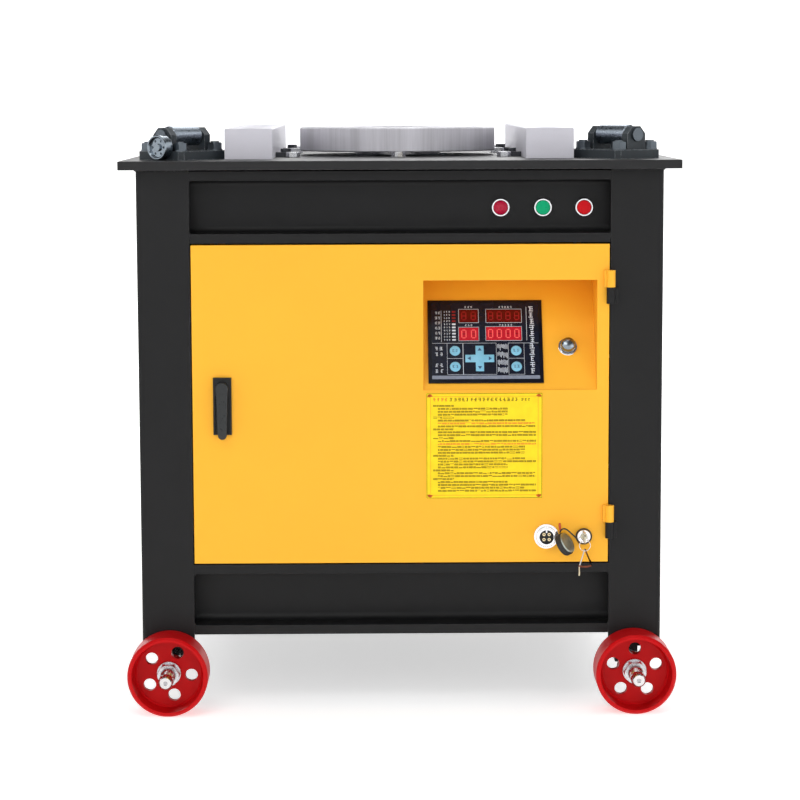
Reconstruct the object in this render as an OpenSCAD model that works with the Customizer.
// Cabinet-type rebar bender on four wheels. Millimetres, +Z up, the front faces -Y,
// and the origin is on the floor under the centre of the turning disc.

/* [Cabinet] */
// Width and depth of the steel worktop
table_size = 760; // [600:5:900]
// Thickness of the worktop plate
table_t = 12; // [8:1:20]
// Height of the worktop's upper face
table_z = 755; // [650:5:850]
// Distance from the centre to the outer faces of the posts
frame_half = 358; // [300:1:400]
// Width of each side of the angle-section posts
post_w = 72; // [50:1:100]
// Wall thickness of the posts
post_t = 6; // [4:1:12]
// Height of the lower ends of the posts
post_z0 = 84; // [60:1:120]
// Depth of the rail channels from their front edge to the back of the web
rail_depth = 48; // [30:1:80]
// Web thickness of the rail channels
rail_web = 6; // [4:1:10]
// Thickness of the rail flanges
rail_flange = 13; // [6:1:16]
// Height of each rail channel
rail_h = 98; // [60:1:140]
// Height of the underside of the lower rails
rail_z0 = 103; // [80:1:160]

/* [Door] */
// Half of the door's width
door_half = 284.5; // [200:0.5:340]
// Height of the door's lower edge
door_z0 = 203; // [150:1:300]
// Height of the door's upper edge
door_z1 = 641; // [500:1:700]
// Depth of the door's folded edges
door_fold = 18; // [10:1:40]
// Left edge of the sloped control recess
niche_x0 = 31; // [-100:1:100]
// Right edge of the sloped control recess
niche_x1 = 268; // [150:1:280]
// Lower edge of the control recess
niche_z0 = 442; // [350:1:500]
// Height of the control recess
niche_h = 150; // [80:1:200]
// Depth of the control recess at its top
niche_d = 83; // [40:1:100]
// Distance of the hinge line from the centre
hinge_x = 286; // [200:0.5:340]

/* [Worktop tools] */
// Diameter of the turning disc
disc_d = 290; // [200:1:400]
// Height of the disc's underside
disc_z0 = 761; // [740:0.5:800]
// Height of the disc's upper face
disc_z1 = 796; // [760:0.5:840]
// Diameter of the centre mandrel socket
mandrel_d = 45; // [20:1:60]
// Diameter of the pin holes in the disc
pin_hole_d = 30; // [16:1:40]
// Inner face of the insert blocks from the centre
block_x0 = 175.5; // [150:0.5:250]
// Width of an insert block
block_w = 66; // [40:1:90]
// Height of an insert block
block_h = 42; // [25:1:60]
// Length of an insert block
block_len = 560; // [300:5:700]
// Diameter of the pin holes in the insert blocks
insert_d = 36; // [20:1:45]
// Spacing of the pin holes in the insert blocks
insert_pitch = 105; // [60:5:140]
// Angle of the roller brackets from the front-to-back direction
roller_turn = 35; // [0:1:60]
// Distance of the roller brackets from the centre line
roller_x = 301; // [250:1:340]
// Front-to-back position of the roller brackets
roller_y = -270; // [-330:1:0]
// Diameter of the bar rollers
roller_d = 27; // [16:0.5:50]

/* [Wheels] */
// Diameter of the wheels
wheel_d = 110; // [80:1:160]
// Distance of the axle lines from the centre line
axle_x = 320; // [250:1:350]
// Front face of the front wheels from the centre
wheel_y1 = 412; // [380:1:460]
// Back face of the front wheels from the centre
wheel_y0 = 359; // [340:1:400]
// Diameter of the axles
axle_d = 20; // [12:1:30]
// Distance from the centre to the axle ends
axle_end = 446; // [400:1:480]

/* [Gear train] */
// Teeth of the gear on the disc shaft
main_teeth = 72; // [50:1:90]
// Teeth of the gear on the second shaft
second_teeth = 64; // [40:1:80]
// Teeth of the gear on the first shaft
first_teeth = 68; // [40:1:80]
// Teeth of each pinion
pinion_teeth = 17; // [17:1:24]
// Tooth module of the disc-shaft gear pair
main_m = 5; // [3:0.5:6]
// Tooth module of the second gear pair
second_m = 3.5; // [2:0.5:5]
// Tooth module of the motor gear pair
first_m = 2.5; // [1.5:0.5:4]
// Play between the flanks of meshing teeth
backlash = 0.5; // [0.2:0.1:1]

/* [Hidden] */
$fn = 48;

under_z = table_z - table_t;
gearbox_bolt_at = [[0, -172], [-150, -178], [150, -178], [-154, 95], [154, 95], [-150, 250], [0, 262],
    [150, 250]];
top_rail_z = under_z - rail_h - 2;
rail_half = frame_half - post_w - 0.5;
web_y = frame_half - rail_depth + rail_web;
axle_z = wheel_d / 2;
web_front = 384;
web_back = 374;
front_y = -frame_half - 2;
hinge_y = -366.3;
niche_a = atan(niche_d / niche_h);
block_xm = block_x0 + block_w / 2;
roller_z = table_z + 32.5;
case_x0 = -258;
case_x1 = 200;
case_y0 = -198;
case_y1 = 308;
case_z0 = 580;
cover_z = 729;
main_dist = main_m * (main_teeth + pinion_teeth) / 2;
second_dist = second_m * (second_teeth + pinion_teeth) / 2;
first_dist = first_m * (first_teeth + pinion_teeth) / 2;
second_dir = 125;
first_dir = 10;
motor_dir = -20;
second_x = main_dist * cos(second_dir);
second_y = main_dist * sin(second_dir);
first_x = second_x + second_dist * cos(first_dir);
first_y = second_y + second_dist * sin(first_dir);
motor_x = first_x + first_dist * cos(motor_dir);
motor_y = first_y + first_dist * sin(motor_dir);
button_z = 689;
button_y = -web_y;
latch_x = -243.7;
latch_z = 446;
socket_x = 199.5;
socket_z = 239;
lock_x = 251;
lock_z = 239;
ring_y0 = front_y - 22.5;
ring_z0 = lock_z - 2;
cap_at = [229, front_y - 19.5, 234];
cord_route = [[217, -377, 246.8], [218, -379.5, 249.8], [220, -382, 252.3], [223, -384.3, 253.2],
    [226.5, -386, 251.8], [230, -387, 249], [233.5, -387.2, 245.8], [236.8, -386.2, 242.5],
    [239.6, -384, 239.3], [241.6, -381, 236.3], [242.8, -377.5, 233.8], [243.4, -374, 232.1],
    [243.7, -370.7, 231.2], [243.8, -367.4, 231], [243.7, -364.75, 231.4]];

module box(a, b) {
    translate(a) cube([b[0] - a[0], b[1] - a[1], b[2] - a[2]]);
}

// Round bar along +Y from y0 to y1
module rod_y(x, z, y0, y1, d) {
    translate([x, y0, z]) rotate([-90, 0, 0]) cylinder(d = d, h = y1 - y0);
}

module rod_z(x, y, z0, z1, d) {
    translate([x, y, z0]) cylinder(d = d, h = z1 - z0);
}

module hex(af, h) {
    cylinder(d = af / cos(30), h = h, $fn = 6);
}

module both_sides() {
    for (m = [0, 1]) mirror([m, 0, 0]) children();
}

module quarters() {
    for (mx = [0, 1], my = [0, 1]) mirror([mx, 0, 0]) mirror([0, my, 0]) children();
}

// Involute spur gear outline with one tooth centred on the +X axis
function inv_a(rb, r) = r <= rb ? 0 : sqrt(pow(r / rb, 2) - 1) * 180 / PI - acos(rb / r);
module gear_2d(m, z) {
    rp = m * z / 2;
    rb = rp * cos(20);
    ra = rp + m;
    rf = rp - 1.25 * m;
    half = 90 / z - backlash / 2 / rp * 180 / PI / 2 + inv_a(rb, rp);
    rr = [max(rb, rf + 0.1), rp - 0.4 * m, rp + 0.3 * m, ra];
    polygon([for (i = [0:z - 1]) let (c = i * 360 / z)
        for (p = concat([[rf, c - half]], [for (r = rr) [r, c - half + inv_a(rb, r)]],
            [for (k = [3:-1:0]) [rr[k], c + half - inv_a(rb, rr[k])]], [[rf, c + half]]))
            [p[0] * cos(p[1]), p[0] * sin(p[1])]]);
}

module gear(m, z, z0, z1, dir, bore) {
    translate([0, 0, z0]) rotate([0, 0, dir]) difference() {
        linear_extrude(height = z1 - z0) gear_2d(m, z);
        if (bore > 0) translate([0, 0, -1]) cylinder(d = bore, h = z1 - z0 + 2);
    }
}

module channel_2d() {
    in_d = rail_depth - rail_web;
    difference() {
        square([rail_depth, rail_h]);
        difference() {
            translate([-1, rail_flange]) square([in_d + 1, rail_h - 2 * rail_flange]);
            for (s = [0, 1]) translate([0, s * rail_h]) mirror([0, s]) difference() {
                translate([in_d - 9, rail_flange]) square([9, 9]);
                translate([in_d - 9, rail_flange + 9]) circle(r = 9);
            }
        }
    }
}

// Rail whose ends are notched to tuck inside the angles of the posts
module channel(z0, half) {
    difference() {
        translate([-half, -frame_half, z0]) rotate([90, 0, 90])
            linear_extrude(height = 2 * half) channel_2d();
        both_sides() box([rail_half, -frame_half - 1, z0 - 1],
            [half + 1, -frame_half + post_t + 0.1, z0 + rail_h + 1]);
    }
}

module rail_square(z0) {
    for (a = [0, 180]) rotate([0, 0, a]) channel(z0, frame_half - post_t - 0.1);
    for (a = [90, 270]) rotate([0, 0, a]) channel(z0, web_y - rail_web - 0.05);
}

// Fixing holes of the cover panels on both sides and at the rear
module panel_holes(d) {
    for (z = [240, 420, 600]) {
        for (y = [-294, 294]) translate([-370, y, z]) rotate([0, 90, 0]) cylinder(d = d, h = 740);
        for (x = [-294, 294]) rod_y(x, z, 340, 370, d);
    }
}

module posts() {
    color([0.16, 0.17, 0.18]) difference() {
        quarters() translate([-frame_half, -frame_half, post_z0])
            linear_extrude(height = under_z - post_z0) difference() {
                square(post_w);
                translate([post_t, post_t]) square(post_w);
                difference() {
                    translate([-1, -1]) square(5);
                    translate([4, 4]) circle(r = 4);
                }
            }
        panel_holes(6.6);
    }
}

module top_rails() {
    color([0.16, 0.17, 0.18]) difference() {
        rail_square(top_rail_z);
        for (x = [138, 196, 252.5]) rod_y(x, button_z, -320, -300, 22.6);
    }
}

// Lower rails with the welded blocks that carry the axles
module bottom_rails() {
    color([0.16, 0.17, 0.18]) {
        rail_square(rail_z0);
        quarters() difference() {
            box([axle_x - 16, 250, 42], [axle_x + 16, 272, rail_z0 - 0.05]);
            rod_y(axle_x, axle_z, 240, 280, axle_d + 0.2);
        }
    }
}

module table_plate() {
    color([0.2, 0.2, 0.21]) difference() {
        box([-table_size / 2, -table_size / 2, under_z], [table_size / 2, table_size / 2, table_z]);
        rod_z(0, 0, under_z - 1, table_z + 1, 150);
        for (p = gearbox_bolt_at) rod_z(p[0], p[1], under_z - 1, table_z + 1, 12.6);
        both_sides() {
            for (y = [-250, 250]) rod_z(block_xm, y, under_z - 1, table_z + 1, 16.4);
            on_bracket() for (u = [-38, 38], v = [-28, 28])
                rod_z(v, u, under_z - table_z - 1, 1, 12.4);
            for (y = [-150, 150]) rod_z(block_x0 - 14, y, under_z - 1, table_z + 1, 8.4);
        }
    }
}

// Flat sheet with rows of pressed air slots between its ends
module louvred(w, z0, z1, t) {
    difference() {
        box([-w, 0, z0], [w, t, z1]);
        for (x = [-150, 0, 150], z = [0:6]) {
            box([x - 45, -1, 520 + z * 14], [x + 45, t + 1, 525 + z * 14]);
            box([x - 45, -1, 250 + z * 14], [x + 45, t + 1, 255 + z * 14]);
        }
    }
}

module cover_panels() {
    color([0.93, 0.64, 0.16]) difference() {
        for (a = [-90, 90, 180]) rotate([0, 0, a])
            translate([0, -frame_half + post_t + 0.1, 0])
                louvred(304, rail_z0 + rail_h + 1, top_rail_z - 1, 2);
        panel_holes(6.4);
    }
}

module panel_screws() {
    color([0.6, 0.6, 0.62]) for (z = [240, 420, 600], s = [-1, 1]) {
        for (x = [-294, 294]) translate([x, frame_half, z]) rotate([90, 0, 0]) screw_m6();
        for (y = [-294, 294]) translate([s * frame_half, y, z]) rotate([0, -90 * s, 0]) screw_m6();
    }
}

module screw_m6() {
    translate([0, 0, -3.5]) difference() {
        cylinder(d1 = 8, d2 = 11, h = 3.5);
        translate([0, 0, -1]) hex(4, 3);
    }
    translate([0, 0, -0.1]) cylinder(d = 6, h = 13);
}

module base_pan() {
    color([0.16, 0.17, 0.18]) difference() {
        box([-309.5, -309.5, 176], [309.5, 309.5, 196]);
        box([-307.5, -307.5, 175], [307.5, 307.5, 194]);
        quarters() box([-320, -320, 170], [-290, -290, 200]);
        for (x = [-200, -100, 0, 100, 200]) box([x - 30, -240, 190], [x + 30, -232, 200]);
    }
}

module axles() {
    color([0.72, 0.72, 0.74]) both_sides() difference() {
        rod_y(axle_x, axle_z, -axle_end, axle_end, axle_d);
        for (s = [-1, 1]) translate([axle_x, s * axle_end, axle_z]) rotate([90 * s, 0, 0])
            difference() {
                translate([0, 0, -1]) cylinder(r = 14, h = 3);
                translate([0, 0, -1]) cylinder(r1 = 7, r2 = 11, h = 4);
            }
    }
}

module axle_nuts() {
    color([0.78, 0.78, 0.8]) quarters() {
        ring_y(web_front + 0.3, 3, 33);
        nut_y(web_front + 3.4, 14);
        nut_y(wheel_y0 - 11.5, 11);
    }
}

module ring_y(y, t, d) {
    difference() {
        rod_y(axle_x, axle_z, y, y + t, d);
        rod_y(axle_x, axle_z, y - 1, y + t + 1, axle_d + 0.2);
    }
}

module nut_y(y, t) {
    difference() {
        translate([axle_x, y, axle_z]) rotate([-90, 0, 0]) intersection() {
            hex(28, t);
            translate([0, 0, -2]) cylinder(r1 = 17.5, r2 = 14.6, h = t + 3);
        }
        rod_y(axle_x, axle_z, y - 1, y + t + 1, axle_d + 0.2);
    }
}

// Wheel about the +Y axis: plain tread, dished disc with five lightening holes
module wheel(turn) {
    color([0.75, 0.06, 0.08]) rotate([-90, 0, 0]) rotate([0, 0, -turn]) difference() {
        rotate_extrude($fn = 96) polygon([[axle_d / 2 + 0.05, wheel_y0], [22, wheel_y0], [22, web_back - 3],
            [25, web_back], [wheel_d / 2 - 11, web_back], [wheel_d / 2 - 8, web_back - 3],
            [wheel_d / 2 - 7, wheel_y0], [wheel_d / 2 - 2, wheel_y0], [wheel_d / 2, wheel_y0 + 2],
            [wheel_d / 2, wheel_y1 - 3], [wheel_d / 2 - 3, wheel_y1], [wheel_d / 2 - 6, wheel_y1],
            [wheel_d / 2 - 8, web_front + 3], [wheel_d / 2 - 11, web_front],
            [axle_d / 2 + 0.05, web_front]]);
        for (i = [0:4]) rotate([0, 0, i * 72]) translate([31, 0, web_back - 2])
            cylinder(d = 17, h = 14);
    }
}

module wheel_front_left() {
    translate([-axle_x, 0, axle_z]) mirror([0, 1, 0]) wheel(-5);
}
module wheel_front_right() {
    translate([axle_x, 0, axle_z]) mirror([0, 1, 0]) wheel(17);
}
module wheel_rear_left() {
    translate([-axle_x, 0, axle_z]) wheel(40);
}
module wheel_rear_right() {
    translate([axle_x, 0, axle_z]) wheel(-23);
}

module insert_blocks() {
    color([0.76, 0.76, 0.78]) both_sides() difference() {
        translate([block_x0, -block_len / 2, table_z]) difference() {
            cube([block_w, block_len, block_h]);
            for (x = [0, block_w]) translate([x, -1, block_h]) rotate([0, 45, 0])
                translate([-0.8, 0, -0.8]) cube([1.6, block_len + 2, 1.6]);
        }
        for (i = [-2:2]) {
            rod_z(block_xm, i * insert_pitch, table_z - 1, table_z + block_h + 1, insert_d);
            translate([block_xm, i * insert_pitch, table_z + block_h - 1.5])
                cylinder(d1 = insert_d, d2 = insert_d + 4, h = 2);
        }
        for (y = [-250, 250]) {
            rod_z(block_xm, y, table_z - 1, table_z + block_h + 1, 17);
            rod_z(block_xm, y, table_z + block_h - 18, table_z + block_h + 1, 26);
        }
    }
}

module block_screws() {
    color([0.3, 0.3, 0.32]) both_sides() for (y = [-250, 250])
        translate([block_xm, y, table_z + block_h - 18]) difference() {
            union() {
                translate([0, 0, 0.05]) cylinder(d = 24, h = 16);
                translate([0, 0, -block_h + 18 - table_t + 1]) cylinder(d = 16, h = block_h - 18 + table_t);
            }
            translate([0, 0, 8]) hex(14, 10);
        }
}

// Stepped clamps that hold the inner edges of the blocks down on the worktop
module block_clamps() {
    color([0.45, 0.45, 0.47]) both_sides() for (y = [-150, 150]) translate([block_x0, y, table_z]) {
        difference() {
            box([-24, -14, 0.05], [-0.2, 14, 7]);
            translate([-14, 0, -1]) cylinder(d = 8.6, h = 10);
        }
        translate([-14, 0, 7.05]) hex(13, 5);
        translate([-14, 0, -table_t + 1]) cylinder(d = 8, h = table_t + 8);
    }
}

// Moves into a roller bracket's own frame: local +Y runs along the roller
module on_bracket() {
    translate([roller_x, roller_y, table_z]) rotate([0, 0, roller_turn]) children();
}

module bracket() {
    on_bracket() difference() {
        union() {
            linear_extrude(height = 12) polygon([[-34, -50], [34, -50], [40, -44], [40, 44], [34, 50],
                [-34, 50], [-40, 44], [-40, -44]]);
            for (u = [-42.5, 30.5]) translate([0, u + 12, 0]) rotate([90, 0, 0])
                linear_extrude(height = 12) polygon([[-16, 11], [16, 11], [16, 34], [7, 44], [-7, 44],
                    [-16, 34]]);
        }
        rod_y(0, roller_z - table_z, -60, 60, 14.2);
        for (u = [-38, 38], v = [-28, 28]) rod_z(v, u, -1, 20, 12.6);
    }
}

module brackets() {
    color([0.22, 0.26, 0.29]) {
        bracket();
        difference() {
            mirror([1, 0, 0]) bracket();
            mirror([1, 0, 0]) on_bracket() rod_y(-9, 17.5, -60, -25, 10.2);
        }
    }
}

module bracket_studs() {
    color([0.55, 0.56, 0.58]) both_sides() on_bracket() for (u = [-38, 38], v = [-28, 28])
        translate([v, u, 0]) {
            translate([0, 0, -table_t + 1]) cylinder(d = 12, h = table_t + 24);
            translate([0, 0, 12.05]) difference() {
                cylinder(d = 21, h = 2);
                translate([0, 0, -1]) cylinder(d = 12, h = 4);
            }
            translate([0, 0, 14.1]) difference() {
                intersection() {
                    hex(18, 9);
                    cylinder(r1 = 12, r2 = 9.6, h = 9.5);
                }
                translate([0, 0, -1]) cylinder(d = 12, h = 12);
            }
        }
}

module roller_pins() {
    color([0.6, 0.6, 0.62]) both_sides() on_bracket() {
        rod_y(0, roller_z - table_z, -46, 46, 14);
        for (u = [-46, 43.4]) rod_y(0, roller_z - table_z, u, u + 2.6, 18);
    }
}

module roller() {
    color([0.78, 0.79, 0.81]) on_bracket() translate([0, 0, roller_z - table_z]) rotate([-90, 0, 0])
        rotate_extrude($fn = 64) polygon([[7.05, -30], [11.5, -30], [roller_d / 2, -28], [roller_d / 2, 28],
            [11.5, 30], [7.05, 30]]);
}
module roller_left() {
    mirror([1, 0, 0]) roller();
}
module roller_right() {
    roller();
}

// Hollow sleeve nut on a stud in the left bracket
module adjusting_sleeve() {
    color([0.7, 0.7, 0.72]) mirror([1, 0, 0]) on_bracket() translate([-9, -66, 17.5]) rotate([-90, 0, 0]) {
        difference() {
            rotate_extrude() polygon([[5.1, 4], [13, 4], [13, 1.5], [14.5, 0], [16, 0], [17, 1.2],
                [17, 14.5], [16, 15.4], [5.1, 15.4]]);
            for (a = [0:60:300]) rotate([0, 0, a]) translate([9.6, 0, 2]) cylinder(d = 3, h = 4);
        }
        translate([0, 0, 1]) cylinder(d = 10, h = 34);
    }
}

module turning_disc() {
    color([0.72, 0.72, 0.74]) difference() {
        rotate_extrude($fn = 128) polygon([[45.1, disc_z0], [disc_d / 2 - 1.5, disc_z0],
            [disc_d / 2, disc_z0 + 1.5], [disc_d / 2, disc_z1 - 2], [disc_d / 2 - 2, disc_z1],
            [45.1, disc_z1]]);
        for (i = [0:7]) {
            rotate([0, 0, i * 45]) rod_z(80, 0, disc_z0 - 1, disc_z1 + 1, pin_hole_d);
            rotate([0, 0, i * 45 + 22.5]) rod_z(118, 0, disc_z0 - 1, disc_z1 + 1, pin_hole_d);
        }
        for (i = [0:5]) rotate([0, 0, i * 60 + 11]) {
            rod_z(55, 0, disc_z0 - 1, disc_z1 + 1, 10.6);
            rod_z(55, 0, disc_z1 - 12, disc_z1 + 1, 17);
        }
    }
}

module disc_screws() {
    color([0.3, 0.3, 0.32]) for (i = [0:5]) rotate([0, 0, i * 60 + 11]) translate([55, 0, disc_z1 - 11.95])
        difference() {
            union() {
                cylinder(d = 16, h = 10);
                translate([0, 0, -26]) cylinder(d = 10, h = 27);
            }
            translate([0, 0, 5]) hex(8, 6);
        }
}

// Disc shaft: lower journal, gear seat, upper journal, flange and spigot with the mandrel socket
module main_shaft() {
    color([0.62, 0.62, 0.65]) difference() {
        rotate_extrude($fn = 96) polygon([[0, 592.5], [27.45, 592.5], [27.45, 613.5], [36, 613.5],
            [36, 678], [48, 678], [48, 689.9], [40, 689.9], [40, 726.5], [38, 726.5], [38, 731],
            [34.95, 731], [34.95, 755.8], [64, 755.8], [64, disc_z0 - 0.05], [44.9, disc_z0 - 0.05],
            [44.9, disc_z1 - 2], [43.9, disc_z1 - 1], [mandrel_d / 2 + 1.5, disc_z1 - 1],
            [mandrel_d / 2, disc_z1 - 2.5], [mandrel_d / 2, disc_z1 - 61], [0, disc_z1 - 61]]);
        for (i = [0:5]) rotate([0, 0, i * 60 + 11]) rod_z(55, 0, 755, disc_z0 + 1, 10.2);
    }
}

module main_gear() {
    color([0.5, 0.5, 0.53]) difference() {
        gear(main_m, main_teeth, 690, 724, second_dir, 80.2);
        for (i = [0:5]) rotate([0, 0, i * 60]) rod_z(108, 0, 680, 730, 64);
    }
}

// Gear shaft with its own pinion between two journals
module pinion_shaft(m, z0, z1, dir, lo, hi, d) {
    gear(m, pinion_teeth, z0, z1, dir + 180 + 180 / pinion_teeth, 0);
    rod_z(0, 0, lo, hi, d);
}

module second_shaft() {
    color([0.62, 0.62, 0.65]) translate([second_x, second_y, 0]) {
        pinion_shaft(main_m, 686, 727, second_dir, 593, 740.5, 39.9);
        rod_z(0, 0, 611, 647.9, 48);
        rod_z(0, 0, 676.2, 686, 58);
    }
}

module second_gear() {
    color([0.5, 0.5, 0.53]) translate([second_x, second_y, 0])
        gear(second_m, second_teeth, 648, 676, first_dir, 40.1);
}

module first_shaft() {
    color([0.62, 0.62, 0.65]) translate([first_x, first_y, 0]) {
        pinion_shaft(second_m, 645, 680, first_dir, 593, 740.5, 29.9);
        rod_z(0, 0, 632.2, 645, 40);
    }
}

module first_gear() {
    color([0.5, 0.5, 0.53]) translate([first_x, first_y, 0])
        gear(first_m, first_teeth, 612, 632, motor_dir, 30.1);
}

module case_2d(grow) {
    polygon([[case_x0 - grow, case_y0 + 190], [case_x0 - grow, case_y1 - 60], [case_x0 + 60, case_y1 + grow],
        [case_x1 - 60, case_y1 + grow], [case_x1 + grow, case_y1 - 60], [case_x1 + grow, case_y0 + 40],
        [case_x1 - 40, case_y0 - grow], [case_x0 + 100, case_y0 - grow]]);
}

// Open-topped cast housing with bearing seats in its floor
module gearbox_case() {
    color([0.3, 0.36, 0.4]) difference() {
        union() {
            difference() {
                translate([0, 0, case_z0]) linear_extrude(height = cover_z - case_z0 - 0.05) case_2d(0);
                translate([0, 0, case_z0 + 12]) linear_extrude(height = 200) case_2d(-8);
            }
            rod_z(0, 0, case_z0 + 5, 613, 124);
            rod_z(second_x, second_y, case_z0 + 5, 609, 92);
            rod_z(first_x, first_y, case_z0 + 5, 609, 72);
            rod_z(motor_x, motor_y, case_z0 - 10, case_z0 + 5, 200);
        }
        rod_z(0, 0, 592, 620, 100.2);
        rod_z(second_x, second_y, 592, 620, 68.2);
        rod_z(first_x, first_y, 592, 620, 55.2);
        rod_z(motor_x, motor_y, 560, 640, 60);
    }
}

module gearbox_cover() {
    color([0.3, 0.36, 0.4]) difference() {
        union() {
            translate([0, 0, cover_z]) linear_extrude(height = under_z - cover_z - 0.05) case_2d(0);
            rod_z(0, 0, cover_z, 755.3, 148);
        }
        rod_z(0, 0, 731, 756, 110.2);
        rod_z(0, 0, cover_z - 1, 732, 90);
        rod_z(second_x, second_y, cover_z - 1, 741, 68.2);
        rod_z(first_x, first_y, cover_z - 1, 741, 55.2);
        for (p = gearbox_bolt_at) rod_z(p[0], p[1], cover_z + 2, under_z + 1, 12.2);
    }
}

module gearbox_bolts() {
    color([0.55, 0.56, 0.58]) for (p = gearbox_bolt_at) translate([p[0], p[1], 0]) {
        translate([0, 0, table_z + 0.05]) intersection() {
            hex(18, 7.5);
            cylinder(r1 = 13, r2 = 9.6, h = 7.6);
        }
        rod_z(0, 0, cover_z + 3, table_z + 1, 12);
    }
}

// Bearing shown as one ring with a groove between its races on each face
module bearing(x, y, z, bore, od, h) {
    translate([x, y, z]) rotate_extrude($fn = 72) {
        w = (od - bore) / 2;
        translate([bore / 2, 0]) polygon([[0, 0], [w * 0.3, 0], [w * 0.34, 1.2], [w * 0.66, 1.2],
            [w * 0.7, 0], [w, 0], [w, h], [w * 0.7, h], [w * 0.66, h - 1.2], [w * 0.34, h - 1.2],
            [w * 0.3, h], [0, h]]);
    }
}

module bearings() {
    color([0.8, 0.8, 0.82]) {
        bearing(0, 0, 592.1, 55, 100, 21);
        bearing(0, 0, 731.1, 70, 110, 24);
        bearing(second_x, second_y, 592.1, 40, 68, 15);
        bearing(second_x, second_y, 729, 40, 68, 11.8);
        bearing(first_x, first_y, 592.1, 30, 55, 13);
        bearing(first_x, first_y, 729, 30, 55, 11.8);
        bearing(motor_x, motor_y, 546, 30, 62, 16);
        bearing(motor_x, motor_y, 346, 25, 52, 15);
    }
}

module motor_case() {
    color([0.28, 0.4, 0.45]) translate([motor_x, motor_y, 0]) {
        difference() {
            union() {
                rod_z(0, 0, 340, 569.9, 160);
                rod_z(0, 0, 556, 569.9, 200);
                for (a = [0:15:345]) rotate([0, 0, a]) box([70, -1.5, 360], [92, 1.5, 556]);
                box([60, -45, 400], [125, 45, 500]);
            }
            rod_z(0, 0, 362, 544, 140);
            rod_z(0, 0, 545.9, 562.1, 62.2);
            rod_z(0, 0, 500, 600, 44);
            rod_z(0, 0, 345.9, 363, 52.2);
            rod_z(0, 0, 330, 350, 40);
            box([88, -37, 408], [117, 37, 492]);
        }
    }
}

module stator() {
    color([0.72, 0.42, 0.2]) translate([motor_x, motor_y, 0]) difference() {
        union() {
            rod_z(0, 0, 385, 525, 139.8);
            rod_z(0, 0, 368, 542, 118);
        }
        rod_z(0, 0, 360, 550, 84);
    }
}

module rotor() {
    color([0.6, 0.6, 0.63]) translate([motor_x, motor_y, 0]) {
        gear(first_m, pinion_teeth, 610, 634, motor_dir + 180 + 180 / pinion_teeth, 0);
        rod_z(0, 0, 345, 612, 24.9);
        rod_z(0, 0, 545, 612, 29.9);
        rod_z(0, 0, 304, 346, 18);
        rod_z(0, 0, 382, 528, 82);
        rod_z(0, 0, 372, 538, 68);
    }
}

module cooling_fan() {
    color([0.15, 0.15, 0.16]) translate([motor_x, motor_y, 0]) difference() {
        union() {
            rod_z(0, 0, 308, 330, 44);
            rod_z(0, 0, 327, 330, 140);
            for (a = [0:45:315]) rotate([0, 0, a]) box([18, -1.5, 308], [69, 1.5, 328]);
        }
        rod_z(0, 0, 300, 340, 18.2);
    }
}

module fan_cowl() {
    color([0.16, 0.17, 0.18]) translate([motor_x, motor_y, 0]) difference() {
        rod_z(0, 0, 290, 358, 166);
        rod_z(0, 0, 292, 360, 162);
        for (r = [24, 44, 64], a = [0:30:330]) rotate([0, 0, a + r]) rod_z(r, 0, 285, 300, 9);
    }
}

// Mounting plate with contactors, breaker, terminal row, drive and transformer as closed blocks
module electrical_panel() {
    color([0.2, 0.2, 0.22]) {
        box([-300, -240, 215], [-297, 120, 560]);
        for (y = [-225, -170, -115]) difference() {
            box([-296.9, y, 440], [-215, y + 45, 520]);
            for (k = [8, 19, 30]) box([-230, y + k, 508], [-210, y + k + 7, 525]);
        }
        box([-296.9, -50, 440], [-230, -10, 520]);
        box([-296.9, -225, 360], [-260, 60, 395]);
        box([-296.9, -200, 225], [-200, -90, 320]);
        box([-296.9, -60, 225], [-225, 20, 340]);
    }
}

module lamp_bezels() {
    color([0.82, 0.82, 0.84]) for (x = [138, 196, 252.5]) difference() {
        union() {
            translate([x, button_y - 0.05, button_z]) rotate([90, 0, 0]) cylinder(d1 = 28, d2 = 24, h = 9);
            rod_y(x, button_z, button_y - 1, -305, 22);
            box([x - 15, -309.9, button_z - 20], [x + 15, -265, button_z + 20]);
        }
        rod_y(x, button_z, button_y - 20, -306, 20);
    }
}

module pilot_lens() {
    color([0.6, 0.02, 0.1]) translate([138, 0, button_z]) rotate([90, 0, 0])
        rotate_extrude() polygon([[0, 307], [9.7, 307], [9.7, 325], [8.5, 326.5], [4, 328], [0, 328]]);
}

module push_button(x) {
    translate([x, 0, button_z]) rotate([90, 0, 0])
        rotate_extrude() polygon([[0, 312], [9.7, 312], [9.7, 325.6], [9, 326.6], [0, 326.6]]);
}
module start_button() {
    color([0.05, 0.6, 0.42]) push_button(196);
}
module stop_button() {
    color([0.8, 0.05, 0.1]) push_button(252.5);
}

// Lower hinge halves with the fixed pins
module frame_hinges() {
    color([0.16, 0.17, 0.18]) for (z = [560, 237]) {
        rod_z(hinge_x, hinge_y, z, z + 22, 12);
        rod_z(hinge_x, hinge_y, z + 21, z + 43, 6);
        box([hinge_x + 1, hinge_y, z], [hinge_x + 10, -frame_half - 0.05, z + 22]);
    }
}

module door_hinges() {
    color([0.93, 0.64, 0.16]) for (z = [582.4, 259.4]) difference() {
        union() {
            rod_z(hinge_x, hinge_y, z, z + 23, 12);
            box([hinge_x - 9, hinge_y, z], [hinge_x - 1, front_y - 0.05, z + 23]);
        }
        rod_z(hinge_x, hinge_y, z - 1, z + 24, 6.1);
    }
}

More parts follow.
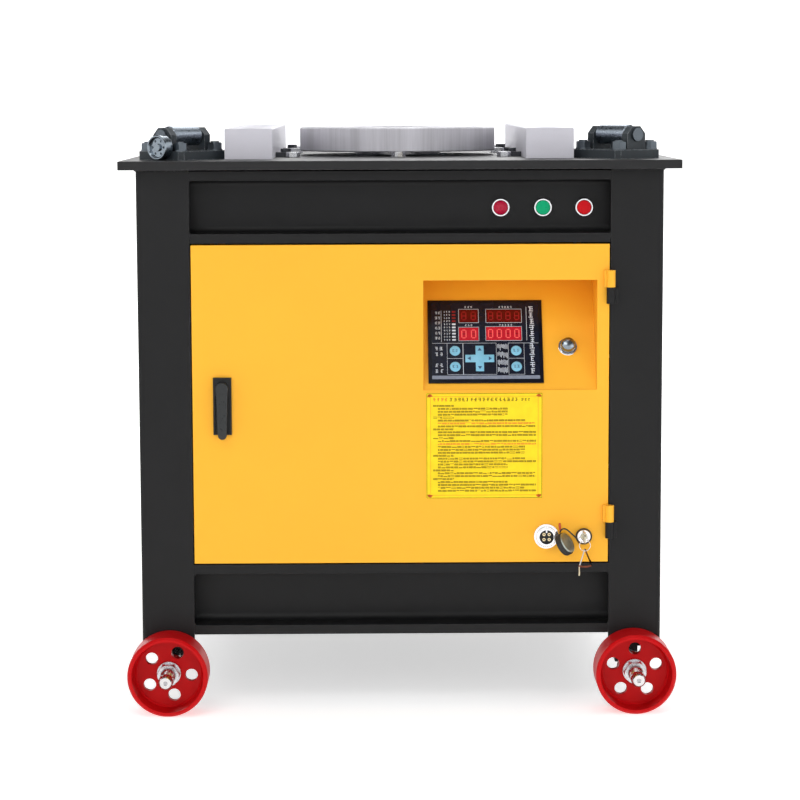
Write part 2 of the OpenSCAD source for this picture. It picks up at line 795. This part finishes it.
module door_panel() {
    color([0.96, 0.68, 0.2]) difference() {
        box([-door_half, front_y, door_z0], [door_half, front_y + door_fold, door_z1]);
        box([-door_half + 2, front_y + 2, door_z0 + 2], [door_half - 2, front_y + 30, door_z1 - 2]);
        box([niche_x0, front_y - 1, niche_z0], [niche_x1, front_y + 5, niche_z0 + niche_h]);
        rod_y(latch_x, latch_z, front_y - 1, front_y + 4, 9);
        box([-door_half - 1, front_y + 6, latch_z - 32], [-door_half + 3, front_y + 17, latch_z + 16]);
        rod_y(socket_x, socket_z, front_y - 1, front_y + 4, 25);
        rod_y(lock_x, lock_z, front_y - 1, front_y + 4, 14.4);
    }
}

// Moves into the sloped control panel's frame: X right, Z up the slope, -Y outwards
module on_slope() {
    translate([0, front_y + 2, niche_z0]) rotate([-niche_a, 0, 0]) children();
}

module niche_pan() {
    color([0.96, 0.68, 0.2]) difference() {
        translate([niche_x0 - 2, front_y + 2.05, niche_z0]) rotate([90, 0, 90])
            linear_extrude(height = niche_x1 - niche_x0 + 4)
                polygon([[0, -4.5], [0, niche_h + 2], [niche_d + 2.4, niche_h + 2],
                    [niche_d + 2.4, niche_h]]);
        translate([niche_x0, front_y + 2, niche_z0]) rotate([90, 0, 90])
            linear_extrude(height = niche_x1 - niche_x0)
                polygon([[-1, 0], [0, 0], [niche_d, niche_h], [-1, niche_h]]);
        on_slope() rod_y(230.5, 63.5, -10, 12, 16.4);
        on_slope() box([60, -1, 30], [174, 12, 110]);
    }
}

module keypad() {
    color([0.06, 0.07, 0.12]) on_slope() box([38, -3.05, 9], [196, -0.05, 133]);
}

module control_box() {
    color([0.16, 0.17, 0.18]) on_slope() {
        box([63, 0.1, 33], [171, 3, 107]);
        box([50, 4.2, 22], [184, 46, 118]);
        box([70, 2.9, 40], [164, 4.3, 100]);
    }
}

module cam_knob() {
    color([0.8, 0.8, 0.82]) on_slope() translate([230.5, 0, 63.5]) rotate([90, 0, 0]) {
        rotate_extrude() polygon([[0, -12], [8, -12], [8, 0.3], [10, 0.3], [10, 9], [9, 11.5], [6, 13],
            [0, 13.6]]);
        translate([0, 0, -15]) box([-6, -7, 0], [6, 26, 3]);
    }
}

module rating_plate() {
    color([0.95, 0.8, 0.3]) box([34.5, front_y - 1.05, 292], [194, front_y - 0.05, 438]);
}

module latch_plate() {
    color([0.1, 0.1, 0.11]) difference() {
        box([latch_x - 12.5, front_y - 4.05, 382], [latch_x + 12.5, front_y - 0.05, 460.6]);
        box([latch_x - 9.5, front_y - 5, 385], [latch_x + 9.5, front_y - 2, 435]);
        rod_y(latch_x, latch_z, front_y - 6, front_y + 2, 9);
    }
}

// Turning handle with its tongue behind the door, both pointing down at rest
module latch_handle() {
    color([0.12, 0.12, 0.13]) {
        rod_y(latch_x, latch_z, front_y - 14, -345, 8.5);
        rod_y(latch_x, latch_z, front_y - 14, front_y - 4.4, 17);
        translate([latch_x, front_y - 5, latch_z]) rotate([90, 0, 0]) linear_extrude(height = 8)
            polygon([[-8, 0], [8, 0], [6, -63.5], [-6, -63.5]]);
        rod_y(latch_x, latch_z - 63.5, front_y - 13, front_y - 5, 12);
        box([latch_x - 8, -350, latch_z - 47], [latch_x + 8, -346.5, latch_z]);
        rod_y(latch_x, latch_z, -350, -346.5, 16);
    }
}

module pedal_socket() {
    color([0.8, 0.8, 0.82]) {
        difference() {
            union() {
                translate([socket_x, front_y - 0.05, socket_z]) rotate([90, 0, 0]) cylinder(d = 34, h = 3);
                rod_y(socket_x, socket_z, front_y - 10, -338, 24.4);
            }
            rod_y(socket_x, socket_z, front_y - 11, front_y - 2, 19.4);
        }
        for (a = [45:90:315]) translate([socket_x + 14.2 * cos(a), front_y - 3.1, socket_z + 14.2 * sin(a)])
            rotate([90, 0, 0]) cylinder(d = 4, h = 1.2);
        difference() {
            rod_y(socket_x, socket_z, front_y - 7, front_y - 2.1, 19);
            for (a = [45:90:315]) rod_y(socket_x + 5 * cos(a), socket_z + 5 * sin(a), front_y - 8,
                front_y - 4, 3);
        }
    }
}

module key_lock() {
    color([0.82, 0.82, 0.84]) difference() {
        union() {
            rod_y(lock_x, lock_z, front_y - 6, front_y - 0.05, 18);
            rod_y(lock_x, lock_z, front_y - 1, -335, 14);
        }
        rod_y(lock_x, lock_z, front_y - 7, -340, 9.2);
    }
}

// Key with the plug of the lock that it turns
module key() {
    color([0.75, 0.7, 0.55]) difference() {
        union() {
            rod_y(lock_x, lock_z, front_y - 5.6, -341, 9.1);
            box([lock_x - 1, front_y - 14, lock_z - 4], [lock_x + 1, front_y - 5, lock_z + 4]);
            translate([lock_x - 1, front_y - 19, lock_z]) rotate([0, 90, 0]) cylinder(d = 18, h = 2);
        }
        translate([lock_x - 2, front_y - 22.5, lock_z - 2]) rotate([0, 90, 0]) cylinder(d = 6, h = 4);
    }
}

// Split ring through the key's bow with a strap, a tag and its cord end hanging from it
module key_ring() {
    color([0.7, 0.7, 0.72]) translate([lock_x, ring_y0, ring_z0 - 7.5]) rotate([90, 0, 0])
        rotate_extrude() translate([7.5, 0]) circle(d = 1.6, $fn = 16);
    color([0.5, 0.22, 0.08]) translate([lock_x, ring_y0, 0]) difference() {
        union() {
            box([-9, -1, 198], [9, 1, 214]);
            box([-3, -1, 213], [3, 1, 222]);
            rod_z(-7.5, 0, 187, 199, 2);
        }
        translate([-0, -5, 217.8]) rotate([-90, 0, 0]) cylinder(d = 5, h = 10);
    }
}

// Screw cap of the pedal socket, hanging tilted, and the tether's eye on the key lock
module dust_cap() {
    color([0.55, 0.58, 0.55]) translate(cap_at) rotate([0, 0, -28.4]) rotate([0, 60, 0])
        rotate_extrude() polygon([[0, -1], [15, -1], [16, -2], [16, -11], [13, -11], [13, -4], [0, -4]]);
    color([0.1, 0.1, 0.1]) translate([lock_x, front_y - 3.6, lock_z]) rotate([90, 0, 0])
        rotate_extrude() translate([10.4, 0]) circle(d = 2, $fn = 16);
}

// Round cord swept along a route
module swept(route, d, n) {
    last = len(route) - 1;
    dirs = [for (i = [0:last]) let (v = route[min(i + 1, last)] - route[max(i - 1, 0)]) v / norm(v)];
    rings = [for (i = [0:last]) let (a = cross(dirs[i], [0, 1, 0]), u = a / norm(a), w = cross(dirs[i], u))
        for (k = [0:n - 1]) route[i] + d / 2 * (cos(k * 360 / n) * u + sin(k * 360 / n) * w)];
    polyhedron(points = rings, faces = concat([[for (k = [0:n - 1]) n - 1 - k]],
        [[for (k = [0:n - 1]) last * n + k]],
        [for (i = [0:last - 1], k = [0:n - 1]) [i * n + k, i * n + (k + 1) % n,
            (i + 1) * n + (k + 1) % n, (i + 1) * n + k]]));
}

module cap_cord() {
    color([0.08, 0.08, 0.08]) swept(cord_route, 2, 8);
}

posts();
top_rails();
bottom_rails();
table_plate();
cover_panels();
panel_screws();
base_pan();
axles();
axle_nuts();
wheel_front_left();
wheel_front_right();
wheel_rear_left();
wheel_rear_right();
insert_blocks();
block_screws();
block_clamps();
brackets();
bracket_studs();
roller_pins();
roller_left();
roller_right();
adjusting_sleeve();
turning_disc();
disc_screws();
main_shaft();
main_gear();
second_shaft();
second_gear();
first_shaft();
first_gear();
gearbox_case();
gearbox_cover();
gearbox_bolts();
bearings();
motor_case();
stator();
rotor();
cooling_fan();
fan_cowl();
electrical_panel();
lamp_bezels();
pilot_lens();
start_button();
stop_button();
frame_hinges();
door_panel();
door_hinges();
niche_pan();
keypad();
control_box();
cam_knob();
rating_plate();
latch_plate();
latch_handle();
pedal_socket();
key_lock();
key();
key_ring();
dust_cap();
cap_cord();
